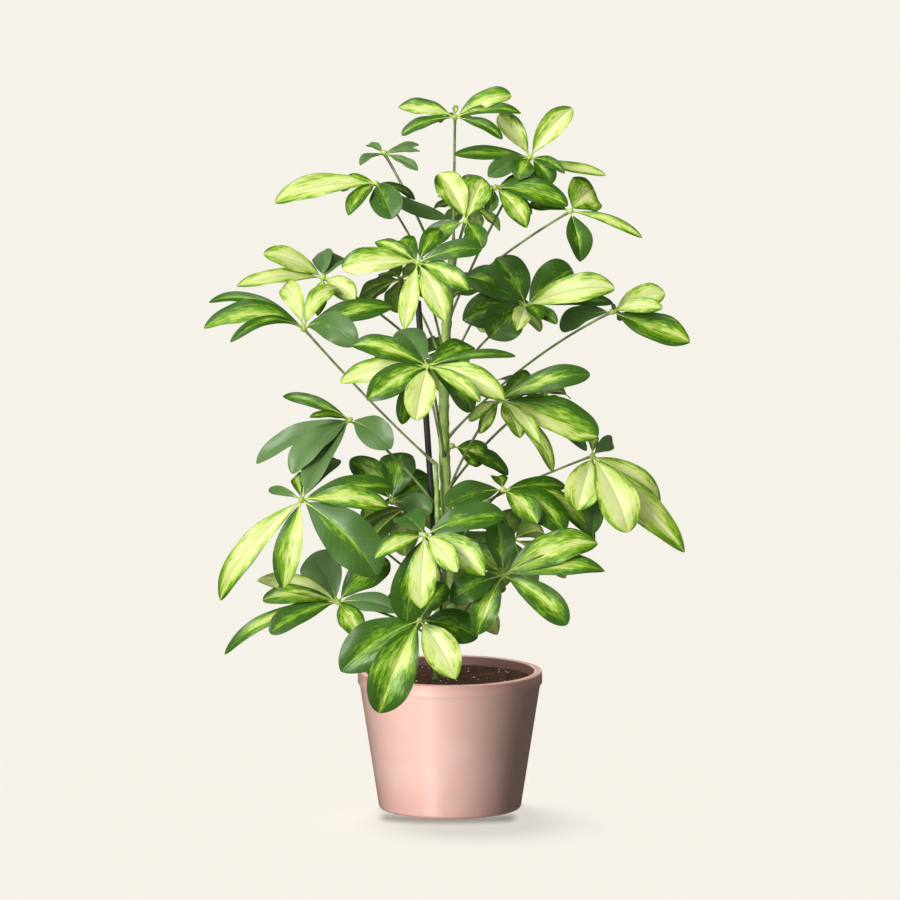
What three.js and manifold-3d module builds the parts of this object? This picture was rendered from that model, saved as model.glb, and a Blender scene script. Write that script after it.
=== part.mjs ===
// A potted variegated umbrella plant. Millimetres, +Z up, the origin in the middle of the pot's underside.
// The front view looks along +Y, from FRONT_TILT above the level.
import * as THREE from "three";
import { mergeVertices } from "three/addons/utils/BufferGeometryUtils.js";
import Module from "manifold-3d";

const wasm = await Module();
wasm.setup();

// Pot: a straight taper with a raised band round the rim
const POT_HEIGHT = 139;
const RIM_RADIUS = 92.5;
const BAND_HEIGHT = 13;
const BAND_OVERHANG = 2;
const FOOT_RADIUS = 71.5;
const FOOT_ROUND = 3;
const RIM_WALL = 8.5;
const RIM_ROUND = 1.2;
const POT_FLOOR = 7;
const POT_SIDES = 36;
const BODY_TOP = POT_HEIGHT - BAND_HEIGHT;
const BODY_RADIUS = RIM_RADIUS - BAND_OVERHANG;
const SIDE_SLOPE = (BODY_RADIUS - FOOT_RADIUS) / BODY_TOP;

// Soil: fills the pot to a little below its rim, slightly higher round the stems
const SOIL_TOP = 130.5;
const SOIL_RISE = 3.5;
const GAP = 0.3;

// Stems and the support rod
const STEM_RADIUS = 5.6;
const SECOND_STEM_RADIUS = 3.2;
const STEM_SIDES = 9;
const STEM_STEPS = 12;
const STEM_POINTS = 60;
const STAKE_RADIUS = 3.2;
const STAKE_SIDES = 12;
const STAKE_FOOT = new THREE.Vector3(-1, 17, 42);
const STAKE_TOP = new THREE.Vector3(-32, 15, 512);

// Leaves: a stalk, a hub and a ring of leaflets
const FRONT_TILT = THREE.MathUtils.degToRad(9.3);
const STALK_RADIUS = 1.7;
const STALK_SIDES = 5;
const STALK_STEPS = 4;
// the stalk's middle: its share of the way from stem to hub, and how far it rises above that line
const STALK_MIDDLE = 0.45;
const STALK_BOW = 18;
const HUB_RADIUS = 4.5;
const BLADE_THICKNESS = 0.8;
const BLADE_ARCH = 0.26;
const BLADE_LEAN = 0.4;
const BLADE_FOLD = 0.28;
const ROOT_HALF_WIDTH = 1;
const ROOT_START = 1.6;
// how far along the midrib each section lies, and its share of the blade's half width
const BLADE_SECTIONS = [
  [0, 0],
  [0.36, 0.72],
  [0.72, 1],
];

const COLOURS = {
  pot: 0xe6b8aa,
  soil: 0x3a261c,
  stem: 0x86a356,
  stake: 0x1b1c1e,
  leaf: 0x5c8f2f,
};

const UP = new THREE.Vector3(0, 0, 1);

// A place or a step measured on the front view: across to the right, up, and back from the viewer.
function seen(across, up, back) {
  const height = (up - back * Math.sin(FRONT_TILT)) / Math.cos(FRONT_TILT);
  return new THREE.Vector3(across, back, height);
}

const MAIN_STEM = new THREE.CatmullRomCurve3([
  new THREE.Vector3(2, 0, 50),
  new THREE.Vector3(1, 0, 140),
  new THREE.Vector3(-2, 2, 260),
  new THREE.Vector3(-6, 0, 380),
  new THREE.Vector3(-4, -2, 480),
  new THREE.Vector3(4, 2, 572),
]);
const SECOND_STEM = new THREE.CatmullRomCurve3([
  new THREE.Vector3(-16, -16, 60),
  new THREE.Vector3(-14, -14, 150),
  new THREE.Vector3(-12, -13, 250),
  new THREE.Vector3(-14, -11, 352),
]);

// Each leaf as the front view shows it. hub is across, up and back from the foot of the pot, from is the
// height at which the stalk leaves its stem, and face is the way its leaflets' upper sides look. Each
// leaflet's tip is across, up and back from the hub, and its last number is the leaflet's width.
const LEAVES = {
  leaf_01: {
    hub: [5, 690, 0], from: 565, face: [0, -0.7, 0.7],
    leaflets: [
      [-57, 11, 8, 16], [-54, -16, -14, 12], [56, 24, 6, 18], [66, 7, -12, 12], [48, -20, -22, 12],
      [-14, -4, 46, 12], [24, -6, 48, 12], [1, 12, 2, 5],
    ],
  },
  leaf_02: {
    hub: [80, 650, 8], from: 490, face: [0.1, -0.9, 0.5],
    leaflets: [
      [-32, 44, 22, 22], [42, 52, 20, 21], [-78, 4, -22, 14], [76, -14, 6, 13], [-60, 16, 30, 9],
      [34, -8, -32, 10],
    ],
  },
  leaf_03: {
    hub: [45, 620, -14], from: 545, face: [0.2, -0.8, 0.6],
    leaflets: [
      [73, -13, -4, 20], [60, 4, 30, 20], [32, -40, -22, 20], [37, -27, 16, 12], [-40, 2, 20, 16],
    ],
  },
  leaf_04: {
    hub: [120, 596, -20], from: 515, face: [0.3, -0.9, 0.4],
    leaflets: [
      [16, -47, -26, 26], [72, -28, -6, 13], [24, 26, 40, 28], [-18, -10, 46, 14],
    ],
  },
  leaf_05: {
    hub: [-74, 624, -10], from: 500, face: [-0.2, -0.8, 0.6],
    leaflets: [
      [-102, -16, -8, 24], [-28, -29, -50, 16], [16, -34, -44, 26], [71, -29, 14, 18], [46, -9, 40, 8],
      [-40, -4, 56, 14],
    ],
  },
  leaf_06: {
    hub: [-66, 655, 40], from: 520, face: [0, -0.3, 1], arch: 0.14,
    leaflets: [
      [34, -16, -20, 10], [-26, -11, -38, 10], [29, 9, 30, 10], [36, 2, 5, 9], [-17, 10, 34, 9],
    ],
  },
  leaf_07: {
    hub: [-127, 530, 34], from: 440, face: [-0.2, -0.8, 0.6],
    leaflets: [
      [-58, 22, -10, 20], [-86, -8, -16, 16], [0, 28, 50, 18], [22, 20, 52, 22], [32, -22, -30, 20],
      [-5, -37, -44, 14],
    ],
  },
  leaf_08: {
    hub: [-146, 479, -20], from: 338, face: [-0.2, -0.8, 0.6], arch: 0.38, stem: "second",
    leaflets: [
      [-100, 1, -10, 20], [-99, 32, 24, 10], [-73, -13, -40, 10], [-14, 46, 46, 18], [31, 44, 28, 18],
      [91, 32, 10, 20], [51, -16, -50, 26],
    ],
  },
  leaf_09: {
    hub: [-32, 544, -100], from: 455, face: [0, -0.8, 0.6],
    leaflets: [
      [-75, 2, -10, 22], [-43, 21, 30, 14], [-13, -66, -25, 17], [27, -58, -28, 22], [50, -26, -34, 18],
      [64, 15, 0, 18], [27, 42, 40, 18], [-20, 26, 50, 18],
    ],
  },
  leaf_10: {
    hub: [76, 501, -20], from: 420, face: [0.1, -0.9, 0.5],
    leaflets: [
      [-31, 53, 10, 34], [-58, 32, -6, 28], [-63, -13, -20, 32], [-36, -31, -30, 34], [48, 42, 20, 34],
      [86, 26, -10, 26], [-8, -21, -60, 16], [14, -13, -55, 14], [32, -25, -45, 14],
    ],
  },
  leaf_11: {
    hub: [162, 496, -10], from: 370, face: [0.2, -0.8, 0.6],
    leaflets: [
      [-52, -6, 30, 22], [53, 24, 16, 22], [50, 7, -14, 14], [77, -21, -10, 26], [8, -6, 62, 14],
    ],
  },
  leaf_12: {
    hub: [-22, 441, -125], from: 350, face: [0, -0.8, 0.6],
    leaflets: [
      [-71, 25, 4, 20], [-30, 37, 50, 26], [-88, -15, -10, 22], [-60, -33, -30, 26], [-12, -53, -45, 26],
      [-30, -66, 20, 20], [42, -38, 24, 18], [77, -33, -20, 24], [52, -35, -44, 14], [47, 20, 30, 24],
      [88, 11, 6, 8],
    ],
  },
  leaf_13: {
    hub: [50, 408, -75], from: 316, face: [0.2, -0.8, 0.6],
    leaflets: [
      [88, 22, 0, 26], [35, 26, 50, 16], [98, -32, -10, 36], [85, -55, 10, 20], [45, -32, -60, 12],
      [47, -72, -20, 20], [-30, -20, -30, 10], [-26, -27, -20, 8],
    ],
  },
  leaf_14: {
    hub: [142, 352, -60], from: 290, face: [0.3, -0.9, 0.4],
    leaflets: [
      [-15, -54, -30, 30], [36, -76, -34, 34], [95, -92, -6, 34], [70, -49, 20, 20], [9, -84, -4, 17],
      [23, 15, 40, 13], [1, 24, 20, 9],
    ],
  },
  leaf_15: {
    hub: [-100, 388, 10], from: 290, face: [-0.2, -0.8, 0.6],
    leaflets: [
      [-69, 25, 16, 11], [-40, 3, -30, 8], [-96, -42, 0, 18], [-55, -63, -56, 34], [36, -28, -40, 32],
    ],
  },
  leaf_16: {
    hub: [-148, 308, -55], from: 215, face: [-0.2, -0.9, 0.5], stem: "second",
    leaflets: [
      [36, 45, 66, 22], [-6, 25, 58, 12], [94, 14, 14, 19], [86, -6, -10, 20], [79, -70, -40, 44],
      [-86, -100, -8, 24], [-6, -93, -24, 27], [-34, 10, 30, 8],
    ],
  },
  leaf_17: {
    hub: [-112, 206, -30], from: 160, face: [-0.2, -0.8, 0.6],
    leaflets: [
      [-81, 27, 10, 24], [-38, 27, 44, 18], [-66, -38, -20, 22], [-115, -54, -10, 20], [-28, 47, 36, 34],
      [46, 36, 26, 30], [60, -8, -30, 20], [22, -35, -44, 22],
    ],
  },
  leaf_18: {
    hub: [-58, 306, 20], from: 240, face: [0, -0.8, 0.6],
    leaflets: [
      [-42, 43, 14, 26], [10, 52, 24, 32], [-30, -16, -50, 14], [38, -10, -30, 22], [40, 36, 30, 26],
    ],
  },
  leaf_19: {
    hub: [-25, 273, -130], from: 205, face: [0, -0.9, 0.5],
    leaflets: [
      [-5, -73, -26, 26], [-18, -87, 0, 32], [-47, -11, -20, 11], [-50, -21, -34, 14], [32, -36, -50, 20],
      [59, -40, -30, 30], [80, 21, 0, 26], [-25, 20, 60, 26],
    ],
  },
  leaf_20: {
    hub: [53, 233, -110], from: 175, face: [0.1, -0.9, 0.5],
    leaflets: [
      [-5, 52, 30, 25], [-42, 26, 30, 26], [95, 36, 10, 30], [103, 2, -6, 22], [67, -45, -20, 30],
      [-53, -26, -10, 26], [-23, -62, -14, 25],
    ],
  },
  leaf_21: {
    hub: [-30, 188, -95], from: 150, face: [0, -0.9, 0.5], stem: "second",
    leaflets: [
      [-79, -51, -14, 38], [-40, -93, -30, 38], [35, -58, -34, 30], [59, -17, 10, 30], [26, 37, 30, 22],
    ],
  },
  leaf_22: {
    hub: [53, 318, -60], from: 245, face: [0.1, -0.8, 0.6],
    leaflets: [
      [62, -43, -30, 32], [34, -33, -46, 22], [-58, -15, -30, 26], [95, -53, 10, 18], [-6, 14, 42, 14],
    ],
  },
  leaf_23: {
    hub: [2, 362, -14], from: 336, face: [0, -0.8, 0.6], arch: 0.12,
    leaflets: [[33, -15, 6, 24], [58, -28, 12, 16]],
  },
  leaf_24: {
    hub: [16, 586, -42], from: 520, face: [0, -0.9, 0.5],
    leaflets: [
      [-27, 48, 20, 26], [18, 44, 26, 26], [-41, -23, 10, 18], [16, -27, -40, 18],
    ],
  },
};

// The leaves at the back carry even rings of leaflets. ring is how many, their length and their width.
const BACK_LEAVES = {
  leaf_25: { hub: [20, 604, 90], from: 520, face: [0.1, 0.6, 0.8], ring: [7, 46, 18] },
  leaf_26: { hub: [45, 520, 125], from: 430, face: [0.3, 0.6, 0.8], ring: [7, 58, 24] },
  leaf_27: { hub: [-50, 530, 120], from: 445, face: [-0.3, 0.6, 0.8], ring: [7, 62, 23] },
  leaf_28: { hub: [-30, 452, 140], from: 345, face: [-0.1, 0.7, 0.8], ring: [8, 58, 24] },
  leaf_29: { hub: [95, 414, 100], from: 320, face: [0.5, 0.5, 0.8], ring: [7, 56, 24] },
  leaf_30: { hub: [-44, 300, 140], from: 225, face: [-0.2, 0.7, 0.7], ring: [7, 68, 26] },
  leaf_31: { hub: [64, 268, 130], from: 195, face: [0.4, 0.7, 0.7], ring: [7, 68, 26] },
  leaf_32: { hub: [-8, 212, 140], from: 155, face: [-0.1, 0.8, 0.6], ring: [7, 68, 26] },
};
// how far a ring's leaflets hang below the plane across their stalk, as a share of their length
const RING_DROOP = 0.3;
const RING_SPREAD = 0.22;

// A value from -1 to 1 that is always the same for the same number.
function draw(number) {
  const wave = Math.sin(number * 12.9898) * 43758.5453;
  return 2 * (wave - Math.floor(wave)) - 1;
}

// Tips evenly round the way the leaf faces, each a little longer or shorter and higher or lower.
function ringTips(name, face, [count, length, width]) {
  const axis = new THREE.Vector3(...face).normalize();
  const level = UP.clone().cross(axis).normalize();
  const rise = axis.clone().cross(level);
  const seed = Number(name.slice(-2)) * 10;
  const tips = [];
  for (let i = 0; i < count; i += 1) {
    const turn = ((i + RING_SPREAD * draw(seed + i)) / count) * 2 * Math.PI;
    const reach = length * (1 + RING_SPREAD * 0.5 * draw(seed + i + 0.25));
    const drop = RING_DROOP * (1 + 0.6 * draw(seed + i + 0.5));
    const tip = level.clone().multiplyScalar(Math.cos(turn)).addScaledVector(rise, Math.sin(turn));
    tip.addScaledVector(axis, -drop).normalize().multiplyScalar(reach);
    tips.push([tip, width]);
  }
  return tips;
}

const { Manifold, Mesh: SolidMesh } = wasm;

// A closed geometry as a solid that can be joined and cut.
function solidOf(geometry) {
  const bare = geometry.clone();
  bare.deleteAttribute("normal");
  bare.deleteAttribute("uv");
  const merged = mergeVertices(bare, 1e-4);
  return new Manifold(
    new SolidMesh({
      numProp: 3,
      vertProperties: new Float32Array(merged.attributes.position.array),
      triVerts: new Uint32Array(merged.index.array),
    }),
  );
}

// A solid as flat-shaded geometry.
function geometryOf(solid) {
  const mesh = solid.getMesh();
  const geometry = new THREE.BufferGeometry();
  geometry.setAttribute("position", new THREE.BufferAttribute(mesh.vertProperties, 3));
  geometry.setIndex(new THREE.BufferAttribute(mesh.triVerts, 1));
  const flat = geometry.toNonIndexed();
  flat.computeVertexNormals();
  return flat;
}

function tube(path, radius, sides, steps) {
  const section = new THREE.Shape();
  for (let i = 0; i < sides; i += 1) {
    const turn = (i / sides) * 2 * Math.PI;
    const corner = [radius * Math.cos(turn), radius * Math.sin(turn)];
    if (i === 0) section.moveTo(...corner);
    else section.lineTo(...corner);
  }
  section.closePath();
  return new THREE.ExtrudeGeometry(section, { steps, extrudePath: path, bevelEnabled: false });
}

// A closed outline of [radius, height] points from axis to axis, turned round the pot's centre line.
function turned(outline) {
  const points = outline.map(([radius, height]) => new THREE.Vector2(radius, height));
  return new THREE.LatheGeometry(points, POT_SIDES).rotateX(Math.PI / 2);
}

// The radius of the pot's inner wall at a height.
function innerRadius(height) {
  return RIM_RADIUS - RIM_WALL - SIDE_SLOPE * (POT_HEIGHT - height);
}

function potGeometry() {
  return turned([
    [0, 0],
    [FOOT_RADIUS - FOOT_ROUND, 0],
    [FOOT_RADIUS - FOOT_ROUND * 0.3, FOOT_ROUND * 0.3],
    [FOOT_RADIUS + SIDE_SLOPE * FOOT_ROUND, FOOT_ROUND],
    [BODY_RADIUS, BODY_TOP],
    [RIM_RADIUS - RIM_ROUND, BODY_TOP],
    [RIM_RADIUS, BODY_TOP + RIM_ROUND],
    [RIM_RADIUS, POT_HEIGHT - RIM_ROUND],
    [RIM_RADIUS - RIM_ROUND, POT_HEIGHT],
    [innerRadius(POT_HEIGHT) + RIM_ROUND, POT_HEIGHT],
    [innerRadius(POT_HEIGHT), POT_HEIGHT - RIM_ROUND],
    [innerRadius(POT_FLOOR), POT_FLOOR],
    [0, POT_FLOOR],
  ]);
}

function soilGeometry() {
  const low = POT_FLOOR + GAP;
  const edge = innerRadius(SOIL_TOP) - GAP * 2;
  return turned([
    [0, low],
    [innerRadius(low) - GAP * 2, low],
    [edge, SOIL_TOP],
    [edge * 0.7, SOIL_TOP + SOIL_RISE * 0.45],
    [edge * 0.3, SOIL_TOP + SOIL_RISE],
    [0, SOIL_TOP + SOIL_RISE],
  ]);
}

// The support rod, or the plain hole that holds it when grow is the gap round it.
function stakeGeometry(grow = 0) {
  const length = STAKE_TOP.distanceTo(STAKE_FOOT) + 2 * grow;
  const radius = STAKE_RADIUS + grow;
  const geometry = new THREE.CylinderGeometry(radius, radius, length, STAKE_SIDES);
  const along = STAKE_TOP.clone().sub(STAKE_FOOT).normalize();
  const turn = new THREE.Quaternion().setFromUnitVectors(new THREE.Vector3(0, 1, 0), along);
  const middle = STAKE_TOP.clone().add(STAKE_FOOT).multiplyScalar(0.5);
  return geometry.applyQuaternion(turn).translate(...middle);
}

// The three upper and three lower points across a blade, each pair of edges folded up from the midrib.
function bladeRow(midrib, place, face, half) {
  const forward = midrib.getTangent(place);
  const normal = face.clone().addScaledVector(forward, -face.dot(forward)).normalize();
  const side = forward.clone().cross(normal);
  const row = [];
  for (const thick of [BLADE_THICKNESS / 2, -BLADE_THICKNESS / 2])
    for (const hand of [-1, 0, 1]) {
      const point = midrib.getPoint(place).addScaledVector(side, hand * half);
      row.push(point.addScaledVector(normal, thick + Math.abs(hand) * half * BLADE_FOLD));
    }
  return row;
}

// One leaflet: a thin blade on an arched midrib, which runs from the hub's centre to its tip.
function leafletGeometry(hub, face, reach, width, arch) {
  const along = reach.clone().normalize();
  const lift = face.clone().multiplyScalar(BLADE_LEAN).add(UP);
  lift.addScaledVector(along, -lift.dot(along)).normalize();
  const crest = hub.clone().addScaledVector(reach, 0.5).addScaledVector(lift, arch * reach.length());
  const midrib = new THREE.QuadraticBezierCurve3(hub, crest, hub.clone().add(reach));
  const points = [];
  for (const [share, fullness] of BLADE_SECTIONS) {
    const place = Math.max(share, ROOT_START / reach.length());
    const half = Math.max(ROOT_HALF_WIDTH, (fullness * width) / 2);
    points.push(...bladeRow(midrib, place, face, half));
  }
  const [, tipAbove, , , tipBelow] = bladeRow(midrib, 1, face, 0);
  points.push(tipAbove, tipBelow);

  // a row's points are left, middle, right above and then left, middle, right below
  const faces = [];
  const quad = (a, b, c, d) => faces.push(a, b, c, a, c, d);
  const row = (i) => [0, 1, 2, 3, 4, 5].map((k) => i * 6 + k);
  const last = BLADE_SECTIONS.length - 1;
  for (let i = 0; i < last; i += 1) {
    const [L, M, R, l, m, r] = row(i);
    const [L2, M2, R2, l2, m2, r2] = row(i + 1);
    quad(L, M, M2, L2);
    quad(R, R2, M2, M);
    quad(l2, m2, m, l);
    quad(m, m2, r2, r);
    quad(l, L, L2, l2);
    quad(R, r, r2, R2);
  }
  const [L, M, R, l, m, r] = row(last);
  const [T, t] = row(last + 1);
  faces.push(L, M, T, M, R, T, m, l, t, r, m, t);
  quad(l, L, T, t);
  quad(R, r, t, T);
  faces.push(0, 3, 4, 0, 4, 1, 1, 4, 5, 1, 5, 2);

  const geometry = new THREE.BufferGeometry();
  const places = new Float32Array(points.flatMap((p) => [p.x, p.y, p.z]));
  geometry.setAttribute("position", new THREE.BufferAttribute(places, 3));
  geometry.setIndex(faces);
  return geometry;
}

// The stalk from the middle of its stem to the hub, rising first and then leaning out.
function stalkPath(stem, from, hub) {
  const nearer = (a, b) => (Math.abs(b.z - from) < Math.abs(a.z - from) ? b : a);
  const foot = stem.getPoints(STEM_POINTS).reduce(nearer);
  const middle = foot.clone().lerp(hub, STALK_MIDDLE);
  middle.z += STALK_BOW;
  return new THREE.QuadraticBezierCurve3(foot, middle, hub);
}

// A whole leaf, its stalk cut off where the stems' own spaces begin.
function leafSolid({ hub, from, face, arch = BLADE_ARCH, stem = "main" }, tips, clear) {
  const centre = seen(...hub);
  const up = new THREE.Vector3(...face).normalize();
  const path = stalkPath(stem === "second" ? SECOND_STEM : MAIN_STEM, from, centre);
  let solid = solidOf(tube(path, STALK_RADIUS, STALK_SIDES, STALK_STEPS));
  for (const stemSpace of clear) solid = solid.subtract(stemSpace);
  const knob = new THREE.OctahedronGeometry(HUB_RADIUS, 0).translate(...centre);
  solid = solid.add(solidOf(knob));
  for (const [reach, width] of tips)
    solid = solid.add(solidOf(leafletGeometry(centre, up, reach, width, arch)));
  return solid;
}

function material(colour, roughness) {
  return new THREE.MeshStandardMaterial({ color: colour, roughness, metalness: 0 });
}

const group = new THREE.Group();
group.name = "umbrella_plant";

function place(name, geometry, finish, position = new THREE.Vector3()) {
  const mesh = new THREE.Mesh(geometry.translate(-position.x, -position.y, -position.z), finish);
  mesh.name = name;
  mesh.position.copy(position);
  group.add(mesh);
}

const stemFinish = material(COLOURS.stem, 0.6);
const leafFinish = material(COLOURS.leaf, 0.4);
const mainSpace = solidOf(tube(MAIN_STEM, STEM_RADIUS + GAP, STEM_SIDES, STEM_STEPS));
const secondSpace = solidOf(tube(SECOND_STEM, SECOND_STEM_RADIUS + GAP, STEM_SIDES, STEM_STEPS));

place("pot", potGeometry(), material(COLOURS.pot, 0.45));
const soil = solidOf(soilGeometry())
  .subtract(mainSpace)
  .subtract(secondSpace)
  .subtract(solidOf(stakeGeometry(GAP)));
place("soil", geometryOf(soil), material(COLOURS.soil, 0.95));
place("stake", stakeGeometry(), material(COLOURS.stake, 0.5));
place("stem_main", tube(MAIN_STEM, STEM_RADIUS, STEM_SIDES, STEM_STEPS), stemFinish);
place("stem_second", tube(SECOND_STEM, SECOND_STEM_RADIUS, STEM_SIDES, STEM_STEPS), stemFinish);
for (const [name, leaf] of Object.entries({ ...LEAVES, ...BACK_LEAVES })) {
  const tips = leaf.ring
    ? ringTips(name, leaf.face, leaf.ring)
    : leaf.leaflets.map(([across, up, back, width]) => [seen(across, up, back), width]);
  const solid = leafSolid(leaf, tips, [mainSpace, secondSpace]);
  place(name, geometryOf(solid), leafFinish, seen(...leaf.hub));
}

export default group;
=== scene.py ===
import math
import random

import bpy
import numpy as np
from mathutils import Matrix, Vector, noise


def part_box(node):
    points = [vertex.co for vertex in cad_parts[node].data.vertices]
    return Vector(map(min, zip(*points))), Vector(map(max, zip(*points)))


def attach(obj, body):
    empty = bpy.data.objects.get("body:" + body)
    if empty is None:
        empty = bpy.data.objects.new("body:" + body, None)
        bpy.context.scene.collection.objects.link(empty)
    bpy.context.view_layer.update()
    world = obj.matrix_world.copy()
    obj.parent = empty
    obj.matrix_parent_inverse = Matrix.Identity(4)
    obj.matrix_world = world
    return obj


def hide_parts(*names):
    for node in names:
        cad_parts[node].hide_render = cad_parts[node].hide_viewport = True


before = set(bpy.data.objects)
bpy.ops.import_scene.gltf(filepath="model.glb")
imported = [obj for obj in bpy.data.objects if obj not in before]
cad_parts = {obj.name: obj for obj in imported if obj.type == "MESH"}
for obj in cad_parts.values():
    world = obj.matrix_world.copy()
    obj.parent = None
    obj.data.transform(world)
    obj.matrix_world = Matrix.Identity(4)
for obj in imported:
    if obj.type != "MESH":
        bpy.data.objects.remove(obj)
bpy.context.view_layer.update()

bpy.ops.object.select_all(action="DESELECT")


# ----------------------------------------
# Pot: a smooth planter of fired clay with a satin pink glaze, turned on a wheel,
# with a straight taper and a raised band round its rim. It stands on its flat underside.
# ----------------------------------------
def screen(red, green, blue):
    """A colour picked on screen, 0 to 255, as the light it stands for."""
    shares = [channel / 255 for channel in (red, green, blue)]
    light = [s / 12.92 if s <= 0.04045 else ((s + 0.055) / 1.055) ** 2.4 for s in shares]
    return (*light, 1.0)


MM = 0.001
BODY = "root"
POT_SIDES = 128
POT_SHARP = 35
POT_CORNER = 1.1 * MM
POT_CORNER_STEPS = 3
FOOT_RADIUS = 71.5 * MM
FOOT_ROUND = 4 * MM
FOOT_STEPS = 5
BAND_HEIGHT = 13 * MM
BAND_OVERHANG = 2 * MM
BAND_SOFTNESS = 1.6 * MM
LIP_TAPER = 0.4 * MM
RIM_WALL = 8.5 * MM
POT_FLOOR = 7 * MM
POT_PINK = screen(234, 190, 178)
POT_SHADE = screen(212, 160, 149)
POT_LIGHT = screen(243, 209, 199)
POT_INSIDE_SHADE = screen(138, 102, 95)
FOOT_SHADE = 0.5
FOOT_SHADE_TOP = 50 * MM
BAND_SHADE = 0.14
LIP_SHADE = 0.84


def finish_named(name, roughness, coat=0.0, coat_roughness=0.2, specular=0.5):
    """A new material with its principled shader."""
    finish = bpy.data.materials.new(name)
    finish.use_nodes = True
    shader = finish.node_tree.nodes["Principled BSDF"]
    shader.inputs["Roughness"].default_value = roughness
    shader.inputs["Coat Weight"].default_value = coat
    shader.inputs["Coat Roughness"].default_value = coat_roughness
    shader.inputs["Specular IOR Level"].default_value = specular
    return finish, finish.node_tree, shader


def fed(tree, kind, values, **settings):
    """A new node with its settings. Its sockets are linked or set in turn, or left for None."""
    node = tree.nodes.new("ShaderNode" + kind)
    for name, setting in settings.items():
        setattr(node, name, setting)
    for value, socket in zip(values, node.inputs):
        if isinstance(value, bpy.types.NodeSocket):
            tree.links.new(value, socket)
        elif value is not None:
            socket.default_value = value
    return node


def maths(tree, operation, *values):
    """The result of one step of arithmetic."""
    return fed(tree, "Math", values, operation=operation).outputs["Value"]


def specks(tree, place, scale, detail=2.0, roughness=0.5):
    """Soft random values from 0 to 1."""
    return fed(tree, "TexNoise", (place, None, scale, detail, roughness)).outputs["Fac"]


def spread(tree, value, low, high, new_low=0.0, new_high=1.0):
    """Maps a range of values onto another one, smoothly and with its ends held."""
    values = (value, low, high, new_low, new_high)
    return fed(tree, "MapRange", values, interpolation_type="SMOOTHSTEP").outputs["Result"]


def blended(tree, share, under, over):
    """One colour over another by a share."""
    values = (share, *[None] * 5, under, over)
    return fed(tree, "Mix", values, data_type="RGBA").outputs[2]


def object_place(tree, size=(1.0, 1.0, 1.0)):
    """The place on the object in metres, drawn out along each axis by size."""
    source = fed(tree, "TexCoord", ()).outputs["Object"]
    return fed(tree, "Mapping", (source, None, None, size)).outputs["Vector"]


def parts_of(tree, place):
    """The three coordinates of a place."""
    return tuple(fed(tree, "SeparateXYZ", [place]).outputs)


def far(tree, first, second):
    """How far off a place is, from how far it is along two axes."""
    squares = maths(tree, "MULTIPLY_ADD", first, first, maths(tree, "MULTIPLY", second, second))
    return maths(tree, "SQRT", squares)


def coloured(tree, shader, colour):
    """Gives a finish its colour."""
    tree.links.new(colour, shader.inputs["Base Color"])


def bumped(tree, shader, height, strength, distance):
    """Gives a finish its fine relief."""
    node = tree.nodes.new("ShaderNodeBump")
    node.inputs["Strength"].default_value = strength
    node.inputs["Distance"].default_value = distance
    tree.links.new(height, node.inputs["Height"])
    tree.links.new(node.outputs["Normal"], shader.inputs["Normal"])


def only(piece):
    """Makes one piece the selected and active one."""
    bpy.ops.object.select_all(action="DESELECT")
    piece.select_set(True)
    bpy.context.view_layer.objects.active = piece


def opened(piece):
    """Selects all of one piece's mesh in edit mode."""
    only(piece)
    bpy.ops.object.mode_set(mode="EDIT")
    bpy.ops.mesh.select_all(action="SELECT")


def smoothed(piece, degrees):
    """Smooth shading, apart from edges sharper than an angle."""
    only(piece)
    bpy.ops.object.shade_smooth_by_angle(angle=math.radians(degrees))


def faced_outwards(piece, gap=None):
    """Closes gaps of a piece's mesh where asked, and turns its faces outwards."""
    opened(piece)
    if gap:
        bpy.ops.mesh.remove_doubles(threshold=gap)
    bpy.ops.mesh.normals_make_consistent(inside=False)
    bpy.ops.object.mode_set(mode="OBJECT")


def turned(name, outline, sides):
    """A closed body turned round the upright axis from an outline of (radius, height)."""
    mesh = bpy.data.meshes.new(name)
    points = [(radius, 0, height) for radius, height in outline]
    mesh.from_pydata(points, [(i, i + 1) for i in range(len(points) - 1)], [])
    piece = bpy.data.objects.new(name, mesh)
    bpy.context.collection.objects.link(piece)
    opened(piece)
    bpy.ops.mesh.spin(steps=sides, angle=math.tau, center=(0, 0, 0), axis=(0, 0, 1))
    bpy.ops.object.mode_set(mode="OBJECT")
    faced_outwards(piece, gap=1e-6)
    return piece


def rounded(piece, width, steps, degrees):
    """Rounds the edges of a piece that are sharper than an angle."""
    edge = piece.modifiers.new("rounding", "BEVEL")
    edge.width = width
    edge.segments = steps
    edge.limit_method = "ANGLE"
    edge.angle_limit = math.radians(degrees)
    only(piece)
    bpy.ops.object.modifier_apply(modifier=edge.name)


def fixed(piece, node):
    """A finished piece, which stays with the pot and stands for its plain solid."""
    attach(piece, BODY)
    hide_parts(node)


pot_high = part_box("pot")[1]
pot_height = pot_high.z
rim_radius = pot_high.x
body_top = pot_height - BAND_HEIGHT
body_radius = rim_radius - BAND_OVERHANG
side_slope = (body_radius - FOOT_RADIUS) / body_top
mouth_radius = rim_radius - RIM_WALL


def inner_radius(height):
    return mouth_radius - side_slope * (pot_height - height)


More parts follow.
